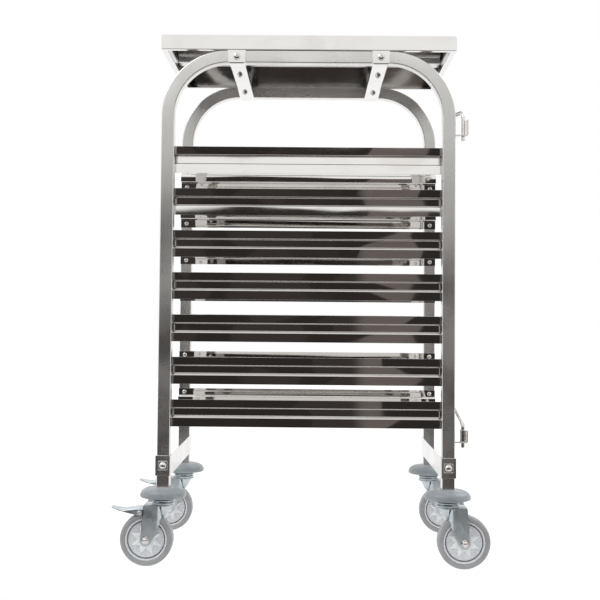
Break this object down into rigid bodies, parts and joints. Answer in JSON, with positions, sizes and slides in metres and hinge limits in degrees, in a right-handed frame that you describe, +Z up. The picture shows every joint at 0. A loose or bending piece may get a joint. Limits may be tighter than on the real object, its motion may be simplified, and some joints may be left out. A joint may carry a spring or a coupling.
{
  "type": "gastronorm racking trolley",
  "caption": "Racking trolley for gastronorm pans: folded runners on bent-tube side frames, flat top shelf, swivel castors with bumpers and brakes, and a swinging retaining bar.",
  "frame": {"origin": "the middle of the box's underside, on the floor; the trolley's own centre is 8.5 mm towards +X, because the brake pedals reach further than the wheels do", "axes": "+X along the runners towards the end with the retaining bar, +Y from the front side frame to the rear one, +Z up"},
  "size_m": [0.718, 0.45, 1.015],
  "materials": {
    "polished_stainless": "polished sheet, mirror-like",
    "brushed_stainless": "satin brushed",
    "stainless_rod": "drawn bright rod",
    "bright_fixings": "bright domed heads",
    "zinc_plated_steel": "zinc plated, slightly blue",
    "bumper_rubber": "moulded grey rubber",
    "tyre_rubber": "grey non-marking rubber",
    "hub_plastic": "light grey moulded nylon",
    "insert_plastic": "black nylon"
  },
  "bodies": {
    "frame": {"side_frame_front": "brushed_stainless", "side_frame_rear": "brushed_stainless", "runner_front_1": "polished_stainless", "runner_front_2": "polished_stainless", "runner_front_3": "polished_stainless", "runner_front_4": "polished_stainless", "runner_front_5": "polished_stainless", "runner_front_6": "polished_stainless", "runner_front_7": "polished_stainless", "runner_rear_1": "polished_stainless", "runner_rear_2": "polished_stainless", "runner_rear_3": "polished_stainless", "runner_rear_4": "polished_stainless", "runner_rear_5": "polished_stainless", "runner_rear_6": "polished_stainless", "runner_rear_7": "polished_stainless", "runner_screws_front": "bright_fixings", "runner_screws_rear": "bright_fixings", "top_cross_bar_left": "brushed_stainless", "top_cross_bar_right": "brushed_stainless", "lower_brace_left": "brushed_stainless", "lower_brace_right": "brushed_stainless", "shelf_top": "brushed_stainless", "shelf_stiffener": "brushed_stainless", "shelf_studs": "bright_fixings", "cross_bar_bolts": "bright_fixings", "brace_bolts": "bright_fixings", "gate_ear_top": "stainless_rod", "gate_ear_bottom": "stainless_rod", "leg_inserts": "insert_plastic", "ball_cages": "insert_plastic", "bumper_front_left": "bumper_rubber", "castor_stem_front_left": "zinc_plated_steel", "bumper_front_right": "bumper_rubber", "castor_stem_front_right": "zinc_plated_steel", "bumper_rear_left": "bumper_rubber", "castor_stem_rear_left": "zinc_plated_steel", "bumper_rear_right": "bumper_rubber", "castor_stem_rear_right": "zinc_plated_steel"},
    "gate": {"gate_bar": "stainless_rod", "gate_collar": "stainless_rod"},
    "swivel_front_left": {"fork_front_left": "zinc_plated_steel", "axle_front_left": "bright_fixings"},
    "wheel_front_left": {"wheel_hub_front_left": "hub_plastic", "tyre_front_left": "tyre_rubber"},
    "pedal_front_left": {"brake_pedal_front_left": "zinc_plated_steel"},
    "swivel_front_right": {"fork_front_right": "zinc_plated_steel", "axle_front_right": "bright_fixings"},
    "wheel_front_right": {"wheel_hub_front_right": "hub_plastic", "tyre_front_right": "tyre_rubber"},
    "swivel_rear_left": {"fork_rear_left": "zinc_plated_steel", "axle_rear_left": "bright_fixings"},
    "wheel_rear_left": {"wheel_hub_rear_left": "hub_plastic", "tyre_rear_left": "tyre_rubber"},
    "pedal_rear_left": {"brake_pedal_rear_left": "zinc_plated_steel"},
    "swivel_rear_right": {"fork_rear_right": "zinc_plated_steel", "axle_rear_right": "bright_fixings"},
    "wheel_rear_right": {"wheel_hub_rear_right": "hub_plastic", "tyre_rear_right": "tyre_rubber"}
  },
  "joints": [
    {"name": "gate_swing", "type": "hinge", "parent": "frame", "child": "gate", "pos_m": [0.3075, -0.181, 0.55], "axis": [0, 0, -1], "range_deg": [0, 180]},
    {"name": "swivel_front_left_turn", "type": "hinge", "parent": "frame", "child": "swivel_front_left", "pos_m": [-0.262, -0.181, 0.115], "axis": [0, 0, 1], "continuous": true},
    {"name": "wheel_front_left_spin", "type": "hinge", "parent": "swivel_front_left", "child": "wheel_front_left", "pos_m": [-0.292, -0.181, 0.05], "axis": [0, 1, 0], "continuous": true},
    {"name": "brake_front_left_press", "type": "hinge", "parent": "swivel_front_left", "child": "pedal_front_left", "pos_m": [-0.304, -0.181, 0.1014], "axis": [0, -1, 0], "range_deg": [0, 12]},
    {"name": "swivel_front_right_turn", "type": "hinge", "parent": "frame", "child": "swivel_front_right", "pos_m": [0.279, -0.181, 0.115], "axis": [0, 0, 1], "continuous": true},
    {"name": "wheel_front_right_spin", "type": "hinge", "parent": "swivel_front_right", "child": "wheel_front_right", "pos_m": [0.309, -0.181, 0.05], "axis": [0, 1, 0], "continuous": true},
    {"name": "swivel_rear_left_turn", "type": "hinge", "parent": "frame", "child": "swivel_rear_left", "pos_m": [-0.262, 0.181, 0.115], "axis": [0, 0, 1], "continuous": true},
    {"name": "wheel_rear_left_spin", "type": "hinge", "parent": "swivel_rear_left", "child": "wheel_rear_left", "pos_m": [-0.292, 0.181, 0.05], "axis": [0, 1, 0], "continuous": true},
    {"name": "brake_rear_left_press", "type": "hinge", "parent": "swivel_rear_left", "child": "pedal_rear_left", "pos_m": [-0.304, 0.181, 0.1014], "axis": [0, -1, 0], "range_deg": [0, 12]},
    {"name": "swivel_rear_right_turn", "type": "hinge", "parent": "frame", "child": "swivel_rear_right", "pos_m": [0.279, 0.181, 0.115], "axis": [0, 0, 1], "continuous": true},
    {"name": "wheel_rear_right_spin", "type": "hinge", "parent": "swivel_rear_right", "child": "wheel_rear_right", "pos_m": [0.309, 0.181, 0.05], "axis": [0, 1, 0], "continuous": true}
  ]
}
